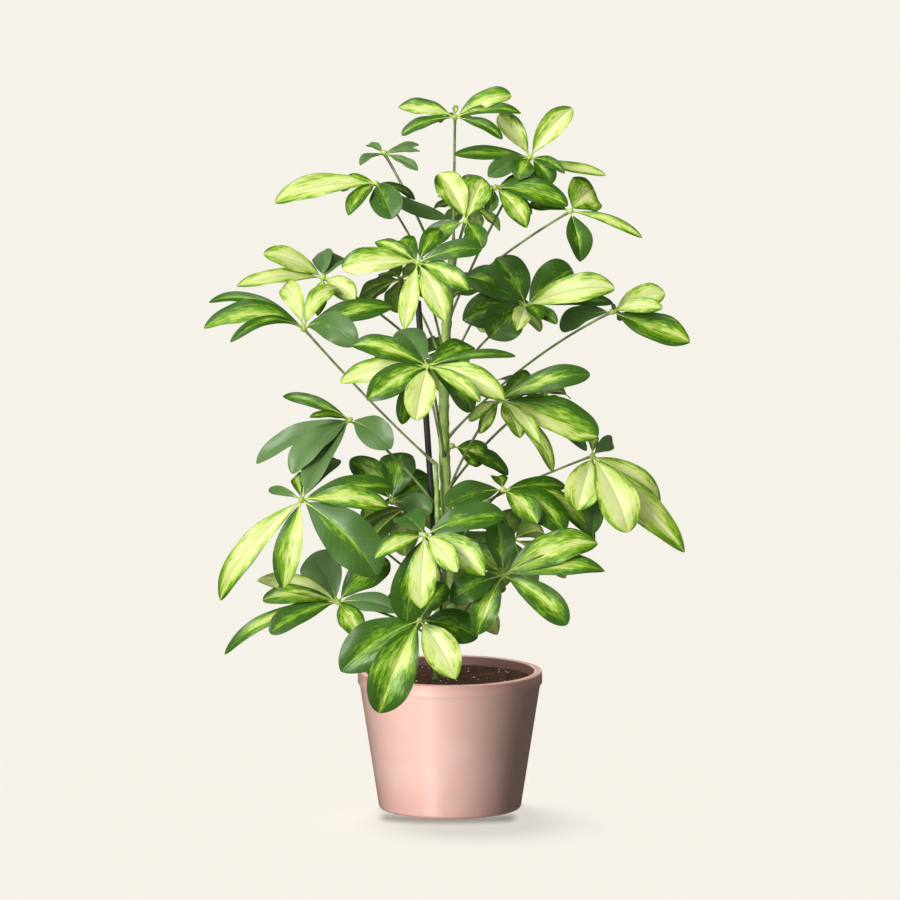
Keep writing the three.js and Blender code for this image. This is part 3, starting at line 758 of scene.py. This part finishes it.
def variegation_group():
    """How the cream, the greens, the veins and a painted grey sheen lie on a leaflet, from its own
    coordinates.
    """
    group = bpy.data.node_groups.new("variegation", "ShaderNodeTree")
    for name in ("Across", "Along", "Tone", "Lean", "Shift", "Seed"):
        group.interface.new_socket(name, in_out="INPUT", socket_type="NodeSocketFloat")
    group.interface.new_socket("Colour", in_out="OUTPUT", socket_type="NodeSocketColor")
    group.interface.new_socket("Height", in_out="OUTPUT", socket_type="NodeSocketFloat")
    given = group.nodes.new("NodeGroupInput").outputs
    side = maths(group, "ABSOLUTE", given["Across"])
    vein = maths(group, "MULTIPLY_ADD", side, -VEIN_SLANT, given["Along"])
    hand = maths(group, "SIGN", given["Across"])

    def place(*parts):
        return fed(group, "CombineXYZ", parts).outputs["Vector"]

    def strayed(start, value, reach):
        """A start moved up or down by random values, over the whole reach at most."""
        return maths(group, "ADD", start, maths(group, "MULTIPLY_ADD", value, reach, -reach / 2))

    two_halves = maths(group, "MULTIPLY_ADD", hand, 1.5, given["Across"])
    fingers = specks(group, place(vein, two_halves, given["Seed"]), scale=7.5, roughness=0.6)
    far_seed = maths(group, "ADD", given["Seed"], 31.0)
    slow_along = maths(group, "MULTIPLY", given["Along"], 1.9)
    patches = specks(group, place(slow_along, given["Across"], far_seed), scale=1.5, detail=1)
    fine = place(vein, given["Across"], far_seed)
    mottle = specks(group, fine, scale=14, detail=3, roughness=0.6)

    # the cream is widest a little above the middle, or nearer the tip or base by Shift
    middle = maths(group, "MULTIPLY_ADD", given["Shift"], CREAM_SHIFT, CREAM_MIDDLE)
    off_middle = maths(group, "SUBTRACT", given["Along"], middle)
    narrow = maths(group, "MULTIPLY", maths(group, "POWER", off_middle, 2.0), -CREAM_TAPER)
    cream = maths(group, "MULTIPLY_ADD", given["Tone"], CREAM_GAIN, CREAM_START)
    off_lean = maths(group, "ABSOLUTE", maths(group, "SUBTRACT", given["Across"], given["Lean"]))
    reach = maths(group, "SUBTRACT", maths(group, "ADD", cream, narrow), off_lean)
    mask = strayed(strayed(reach, patches, PATCH_REACH), fingers, FINGER_REACH)
    green_mask = maths(group, "MULTIPLY_ADD", mottle, MOTTLE_REACH, mask)

    colour = blended(group, spread(group, green_mask, -0.1, 0.5), LEAF_DARK, LEAF_GREEN)
    colour = blended(group, spread(group, mask, -0.2, 0.06), colour, LEAF_LIME)
    colour = blended(group, spread(group, mask, 0.0, 0.2), colour, LEAF_YELLOW)
    colour = blended(group, spread(group, mask, 0.15, 0.8, 0, 0.9), colour, LEAF_CREAM)
    # painted sheen: a tone below 0 greys the green, as a glossy leaflet looks where it reflects the sky
    painted_sheen = maths(group, "MULTIPLY", maths(group, "MINIMUM", given["Tone"], 0.0), -1.0)
    colour = blended(group, painted_sheen, colour, LEAF_SHEEN_GREY)

    # side veins leave the midrib forwards and stand a little lighter and lower
    count = maths(group, "MULTIPLY_ADD", patches, 0.6, maths(group, "MULTIPLY", vein, VEINS))
    beat = maths(group, "FRACT", count)
    from_vein = maths(group, "ABSOLUTE", maths(group, "SUBTRACT", beat, 0.5))
    side_vein = spread(group, from_vein, 0.0, 0.11, 1.0, 0.0)
    colour = blended(group, maths(group, "MULTIPLY", side_vein, 0.05), colour, LEAF_LIME)
    midrib = spread(group, side, 0.015, 0.07, 1.0, 0.0)
    rib_share = maths(group, "MULTIPLY_ADD", given["Tone"], 0.35, 0.2)
    colour = blended(group, maths(group, "MULTIPLY", midrib, rib_share), colour, LEAF_LIME)
    height = maths(group, "MULTIPLY_ADD", side_vein, -0.5, maths(group, "MULTIPLY", midrib, -1.0))
    height = maths(group, "MULTIPLY_ADD", mottle, 0.2, height)
    results = group.nodes.new("NodeGroupOutput").inputs
    group.links.new(colour, results["Colour"])
    group.links.new(height, results["Height"])
    return group


variegation = variegation_group()


def variegated(tree):
    """The pattern on a leaflet, read from its own map and values."""
    pattern = tree.nodes.new("ShaderNodeGroup")
    pattern.node_tree = variegation
    chart = fed(tree, "UVMap", (), uv_map="UVMap").outputs["UV"]
    across, along, _ = parts_of(tree, chart)
    across = maths(tree, "MULTIPLY_ADD", across, 2.0, -1.0)
    tree.links.new(across, pattern.inputs["Across"])
    tree.links.new(along, pattern.inputs["Along"])
    for name in ("Tone", "Lean", "Shift", "Seed"):
        value = fed(tree, "Attribute", (), attribute_name=name.lower())
        tree.links.new(value.outputs["Fac"], pattern.inputs[name])
    return pattern.outputs["Colour"], pattern.outputs["Height"]


upper_side, tree, shader = finish_named(
    "leaf upper side", 0.46, coat=0.12, coat_roughness=0.25, specular=0.28
)
colour, height = variegated(tree)
coloured(tree, shader, colour)
bumped(tree, shader, height, strength=0.4, distance=0.4 * MM)

under_side, tree, shader = finish_named("leaf under side", 0.6, specular=0.25)
colour, height = variegated(tree)
coloured(tree, shader, blended(tree, 0.45, colour, LEAF_BELOW))
height = maths(tree, "MULTIPLY", height, -1.0)
bumped(tree, shader, height, strength=0.5, distance=0.5 * MM)


def streaked(name, scale, specular, first, second):
    """The finish of a stalk or a midrib: soft streaks of two greens over a fine grain."""
    skin, tree, shader = finish_named(name, 0.5, specular=specular)
    place = object_place(tree)
    streaks = spread(tree, specks(tree, place, scale), 0.35, 0.65)
    coloured(tree, shader, blended(tree, streaks, first, second))
    bumped(tree, shader, specks(tree, place, scale=1200), strength=0.3, distance=0.3 * MM)
    return skin


stalk_skin = streaked("leaf stalk", 90, 0.5, LEAF_STALK, LEAF_KNOB)
rib_skin = streaked("leaf rib", 160, 0.3, LEAF_RIB, LEAF_LIME)
LEAF_SKINS = (upper_side, under_side, stalk_skin, rib_skin)


def seen(across, up, back):
    """A place or step measured on the front view in millimetres, as one in metres."""
    height = (up - back * math.sin(VIEW_TILT)) / math.cos(VIEW_TILT)
    return np.array((across, back, height)) * MM


def unit(way):
    return way / np.linalg.norm(way, axis=-1, keepdims=True)


def arc(start, bow, end, t):
    """The points and unit directions at shares t of the way along a simple arc."""
    t = np.asarray(t, float)[:, None]
    points = (1 - t) ** 2 * start + 2 * (1 - t) * t * bow + t**2 * end
    return points, unit((1 - t) * (bow - start) + t * (end - bow))


def draw(number):
    """A value from -1 to 1 that is always the same for the same number."""
    wave = math.sin(number * 12.9898) * 43758.5453
    return 2 * (wave - math.floor(wave)) - 1


def ring_tips(name, faces, ring):
    """Tips evenly round the way the leaf faces, each a little off in length and height."""
    count, length, width = ring
    axis = unit(np.array(faces, float))
    level = unit(np.cross((0, 0, 1), axis))
    rise = np.cross(axis, level)
    seed = int(name[-2:]) * 10
    tips = []
    for i in range(count):
        turn = (i + RING_SPREAD * draw(seed + i)) / count * math.tau
        reach = length * MM * (1 + RING_SPREAD * 0.5 * draw(seed + i + 0.25))
        drop = RING_DROOP * (1 + 0.6 * draw(seed + i + 0.5))
        tip = level * math.cos(turn) + rise * math.sin(turn) - axis * drop
        tips.append((unit(tip) * reach, width * MM, 0.42 + 0.45 * draw(seed + i + 0.7)))
    return tips


def leaflets_of(name, leaf):
    """Each leaflet's reach from the hub, width, tone, lean, shift and arch."""
    if "ring" in leaf:
        tips = ring_tips(name, leaf["faces"], leaf["ring"])
        return [(*tip, 0, 0, BLADE_ARCH) for tip in tips]
    leaflets = []
    for row in leaf["leaflets"]:
        across, up, back, width, tone, lean, shift = (*row, 0, 0)[:7]
        arch = row[7] if len(row) > 7 else leaf.get("arch", BLADE_ARCH)
        leaflets.append((seen(across, up, back), width * MM, tone, lean, shift, arch))
    return leaflets


def pattern_place(x, y):
    """Columns crowd towards the midrib, and rows towards the rounded tip."""
    return math.copysign(abs(x) ** 1.35, x), 1 - (1 - (y + 1) / 2) ** 1.6


def blade_pattern():
    """One flat leaflet to copy: across from -1 to 1, along from 0 to 1, one unit thick."""
    bpy.ops.mesh.primitive_grid_add(
        x_subdivisions=BLADE_COLUMNS, y_subdivisions=BLADE_ROWS, size=2
    )
    blade = bpy.context.object
    for point in blade.data.vertices:
        point.co = (*pattern_place(point.co.x, point.co.y), 0)
    chart = blade.data.uv_layers["UVMap"].data
    for loop, corner in zip(blade.data.loops, chart):
        across, along, _ = blade.data.vertices[loop.vertex_index].co
        corner.uv = ((across + 1) / 2, along)
    for finish in LEAF_SKINS:
        blade.data.materials.append(finish)
    wall = blade.modifiers.new("thickness", "SOLIDIFY")
    wall.thickness = 1.0
    wall.offset = -1.0
    wall.use_even_offset = False
    wall.material_offset = 1
    wall.material_offset_rim = 0
    only(blade)
    bpy.ops.object.modifier_apply(modifier=wall.name)
    return blade


pattern = blade_pattern()
flat = np.array([point.co for point in pattern.data.vertices])


def half_widths(along, width, draws):
    """Half of a leaflet's width all along it, fullest a little above its middle."""
    tip_fullness = TIP_FULLNESS * draws.uniform(0.85, 1.3)
    peak = BASE_FULLNESS / (BASE_FULLNESS + tip_fullness)
    shape = along**BASE_FULLNESS * (1 - along) ** tip_fullness
    shape = shape / (peak**BASE_FULLNESS * (1 - peak) ** tip_fullness)
    return np.maximum(shape * width / 2, EDGE_MINIMUM)


def rise_of_halves(across, along, half, draws):
    """How far a leaflet's halves fold up from its midrib, roll over and ripple."""
    out = np.abs(across)
    fold = BLADE_FOLD * draws.uniform(0.7, 1.2)
    roll = BLADE_ROLL * draws.uniform(0.6, 1.4)
    beat = draws.uniform(1.3, 2.4) * math.tau
    phases = np.where(across < 0, draws.uniform(0, math.tau), draws.uniform(0, math.tau))
    ripple = BLADE_RIPPLE * out**1.5 * np.sin(along * beat + phases)
    return half * (fold * out - roll * out**2 + ripple)


def curled_down(along, curl):
    """How far the tip's end curls down, from nothing to the curl."""
    return curl * (np.maximum(along - CURL_START, 0) / (1 - CURL_START)) ** 2


def blade(hub, face, reach, width, tone, lean, shift, arch, draws):
    """A leaflet bent over its own arched midrib, and that midrib's line and radius."""
    length = np.linalg.norm(reach)
    lift = face * BLADE_LEAN + np.array((0, 0, 1.0))
    lift = unit(lift - unit(reach) * lift.dot(unit(reach)))
    crest = hub + reach / 2 + lift * arch * length
    tip = hub + reach
    across, along, depth = flat.T
    start = min(0.3, BLADE_START / length)
    points, way = arc(hub, crest, tip, start + (1 - start) * along)
    upright = unit(face - way * (way @ face)[:, None])
    level = np.cross(way, upright)
    twist = (BLADE_TWIST * draws.uniform(-1, 1) * along)[:, None]
    side = level * np.cos(twist) + upright * np.sin(twist)
    normal = upright * np.cos(twist) - level * np.sin(twist)
    half = half_widths(along, width, draws)
    rise = rise_of_halves(across, along, half, draws)
    curl = BLADE_CURL * draws.uniform(0, 1.6) * length
    rise += depth * BLADE_THICKNESS - curled_down(along, curl)
    placed = points + side * (across * half)[:, None] + normal * rise[:, None]

    copy = pattern.copy()
    copy.data = pattern.data.copy()
    bpy.context.collection.objects.link(copy)
    copy.data.vertices.foreach_set("co", placed.ravel())
    values = dict(tone=tone, lean=lean, shift=shift, seed=draws.uniform(0, 60))
    for name, value in values.items():
        store = copy.data.attributes.new(name, "FLOAT", "POINT")
        store.data.foreach_set("value", np.full(len(flat), value, np.float32))

    shares = np.linspace(0, RIB_END, RIB_POINTS)
    rib, way = arc(hub, crest, tip, shares)
    normal = unit(face - way * (way @ face)[:, None])
    under = np.minimum(1, shares / start) * (RIB_SINK + BLADE_THICKNESS / 2)
    under += curled_down((shares - start) / (1 - start), curl)
    return copy, (rib - normal * under[:, None], RIB_RADIUS * (1 - RIB_TAPER * shares))


def stalk(stem_line, height, hub, rise):
    """The stalk's line from the middle of its stem to the knob, and its radius along it."""
    foot = np.array(min(stem_line, key=lambda point: abs(point.z - height * MM)))
    bow = foot + (hub - foot) * STALK_MIDDLE + np.array((0, 0, rise * MM))
    shares = np.linspace(0, 1, STALK_POINTS) ** 1.15
    line, _ = arc(foot, bow, hub, shares)
    swell = (STALK_FOOT_RADIUS - STALK_RADIUS) * np.exp(-((shares / STALK_FOOT_REACH) ** 2))
    swell += (STALK_TOP_RADIUS - STALK_RADIUS) * np.exp(-(((1 - shares) / STALK_TOP_REACH) ** 2))
    return line, STALK_RADIUS + swell


def skinned(piece, skin):
    """A part of a leaf with all of a leaf's finishes, which shows one of them."""
    piece.data.materials.clear()
    for finish in LEAF_SKINS:
        piece.data.materials.append(finish)
    for polygon in piece.data.polygons:
        polygon.material_index = LEAF_SKINS.index(skin)
    return piece


for name, leaf in {**LEAVES, **BACK_LEAVES}.items():
    hub = seen(*leaf["hub"])
    face = unit(np.array(leaf["faces"], float))
    second = name in SECOND_STALKS
    stem_line, stalks = (second_line, SECOND_STALKS) if second else (main_line, MAIN_STALKS)
    line = stalk(stem_line, stalks[name], hub, leaf.get("bow", STALK_BOW))
    shank = as_tubes(name + "_stalk", [line], 1)
    draws = random.Random(name)
    leaflets = [blade(hub, face, *leaflet, draws) for leaflet in leaflets_of(name, leaf)]
    blades, rib_lines = zip(*leaflets)
    ribs = as_tubes(name + "_ribs", rib_lines, 1)
    bpy.ops.mesh.primitive_ico_sphere_add(subdivisions=2, radius=KNOB_RADIUS, location=hub)
    knob = bpy.context.object
    bpy.ops.object.transform_apply(location=True, rotation=True, scale=True)
    middle = [skinned(shank, stalk_skin), skinned(ribs, rib_skin), skinned(knob, rib_skin)]
    grown = joined(name + "_grown", [*blades, *middle])
    smoothed(grown, 50)
    fixed(grown, name)
bpy.data.objects.remove(pattern)


# ----------------------------------------
# Studio: a plain pale floor with a painted contact shadow, and soft lights: a key from the
# front left, others from above, from low on the right and from behind, and a strip, a rim
# light and a wash that light only the pot or the floor. The camera looks from a little above the rim.
# ----------------------------------------
PAPER = screen(246, 242, 233)
FLOOR_RADIUS = 14
FLOOR_SHADE = 0.3
FLOOR_GLOW = 0.72
CONTACT_PLACE = Vector((-2.2, -73)) * MM
CONTACT_HALF_LENGTH = 60 * MM
CONTACT_END = 0.5
CONTACT_BEND = 3.05
CONTACT_EDGE = (0.2 * MM, 6.4 * MM)
CONTACT_SHADE = 0.6
FILL = 0.12
FILL_COLOUR = (1.0, 1.0, 0.94, 1.0)
LIGHT_DISTANCE = 3
WARM = (1, 0.985, 0.96)
NEUTRAL = (1, 1, 0.98)
STRIP_PLACE = Vector((-0.16, -0.31, 0.04))
STRIP_WIDTH = 0.06
STRIP_HEIGHT = 0.5
STRIP_POWER = 1.25
VIEW_DISTANCE = 24
VIEW_CENTRE = Vector((0, 0, 0.3627))
VIEW_LENS = 960
VIEW_END = 100

bpy.ops.mesh.primitive_circle_add(vertices=96, radius=FLOOR_RADIUS, fill_type="NGON")
floor = bpy.context.object
floor.name = "floor"
paper = bpy.data.materials.new("pale paper")
paper.use_nodes = True
tree = paper.node_tree
tree.nodes.clear()
# painted contact shadow: the floor darkens softly in front of the pot's foot, in a thin line that bends
# with it
across, back, _ = parts_of(tree, object_place(tree))
off_middle = maths(tree, "ABSOLUTE", maths(tree, "SUBTRACT", across, CONTACT_PLACE.x))
past_end = maths(tree, "MAXIMUM", maths(tree, "SUBTRACT", off_middle, CONTACT_HALF_LENGTH), 0.0)
past_end = maths(tree, "MULTIPLY", past_end, CONTACT_END)
bend = maths(tree, "MULTIPLY", maths(tree, "MULTIPLY", across, across), CONTACT_BEND)
off_line = maths(tree, "SUBTRACT", maths(tree, "SUBTRACT", back, CONTACT_PLACE.y), bend)
off_line = maths(tree, "MULTIPLY", off_line, math.sin(VIEW_TILT))
contact = spread(tree, far(tree, past_end, off_line), *CONTACT_EDGE, CONTACT_SHADE, 0.0)
shaded = blended(tree, contact, PAPER, (0, 0, 0, 1))
glow = fed(tree, "Emission", (shaded, FLOOR_GLOW)).outputs[0]
matt = fed(tree, "BsdfDiffuse", [[part * FLOOR_SHADE for part in PAPER]]).outputs[0]
fed(tree, "OutputMaterial", [fed(tree, "AddShader", (matt, glow)).outputs[0]])
floor.data.materials.append(paper)
floor.visible_diffuse = False
floor.visible_glossy = False

room = bpy.data.worlds.new("studio")
bpy.context.scene.world = room
room.use_nodes = True
tree = room.node_tree
tree.nodes.clear()
shown = fed(tree, "Background", [PAPER]).outputs[0]
fill = fed(tree, "Background", (FILL_COLOUR, FILL)).outputs[0]
seen_straight = fed(tree, "LightPath", ()).outputs["Is Camera Ray"]
both = fed(tree, "MixShader", (seen_straight, fill, shown)).outputs[0]
fed(tree, "OutputWorld", [both])


def soft_light(name, azimuth, height, softness, power, colour):
    """A far soft light. Azimuth 0 shines from the camera's side, and 90 from the right."""
    lamp = bpy.data.lights.new(name, "SUN")
    lamp.angle = math.radians(softness)
    lamp.energy = power * math.pi
    lamp.color = colour
    stand = bpy.data.objects.new(name, lamp)
    turn, lift = math.radians(azimuth), math.radians(height)
    level = math.cos(lift)
    way = Vector((math.sin(turn) * level, -math.cos(turn) * level, math.sin(lift)))
    stand.location = way * LIGHT_DISTANCE
    stand.rotation_euler = way.to_track_quat("Z", "Y").to_euler()
    bpy.context.collection.objects.link(stand)
    return stand


def collected(purpose, things, state):
    """Some things for a lamp to shine on or leave out, or to be shaded by."""
    group = bpy.data.collections.new(purpose)
    for thing in things:
        group.objects.link(thing)
    for entry in group.collection_objects:
        entry.light_linking.link_state = state
    return group


key = soft_light("key", azimuth=-36, height=24, softness=24, power=1.12, colour=WARM)
top = soft_light("top", azimuth=-60, height=62, softness=50, power=0.5, colour=NEUTRAL)
bounce = soft_light("bounce", azimuth=25, height=-5, softness=150, power=0.46, colour=(1, 0.99, 0.92))
behind = soft_light("back light", azimuth=180, height=10, softness=30, power=0.85, colour=NEUTRAL)
behind.visible_glossy = False
wash = soft_light("floor wash", azimuth=-164, height=54, softness=28, power=1.0, colour=(1, 1, 1))
crown = soft_light("rim light", azimuth=-20, height=86, softness=30, power=0.72, colour=(1, 0.97, 0.99))

# the pot has a tall narrow lamp close by, so that it darkens round its sides
bpy.ops.object.light_add(type="AREA", location=STRIP_PLACE)
strip = bpy.context.object
strip.name = "strip lamp"
strip.data.shape = "RECTANGLE"
strip.data.size = STRIP_WIDTH
strip.data.size_y = STRIP_HEIGHT
strip.data.energy = STRIP_POWER
strip.data.color = WARM
strip.rotation_euler = (math.pi / 2, 0, math.atan2(STRIP_PLACE.x, -STRIP_PLACE.y))

# the floor and the pot have lights of their own, in which only the pot throws a shadow
for lamp, things, state in (
    (key, [floor, pot], "EXCLUDE"),
    (top, [floor, pot], "EXCLUDE"),
    (bounce, [floor, pot], "EXCLUDE"),
    (behind, [floor], "EXCLUDE"),
    (strip, [pot], "INCLUDE"),
    (crown, [pot, soil, crumbs, perlite], "INCLUDE"),
    (wash, [floor], "INCLUDE"),
):
    lamp.light_linking.receiver_collection = collected(lamp.name + " lit", things, state)
for lamp in (strip, crown, wash):
    lamp.light_linking.blocker_collection = collected(lamp.name + " shades", [pot], "INCLUDE")

lens = bpy.data.cameras.new("camera")
lens.lens = VIEW_LENS
lens.clip_end = VIEW_END
camera = bpy.data.objects.new("camera", lens)
back_off = Vector((0, -math.cos(VIEW_TILT), math.sin(VIEW_TILT))) * VIEW_DISTANCE
camera.location = VIEW_CENTRE + back_off
camera.rotation_euler = (math.pi / 2 - VIEW_TILT, 0, 0)
bpy.context.collection.objects.link(camera)
bpy.context.scene.camera = camera
bpy.context.scene.view_settings.view_transform = "Standard"
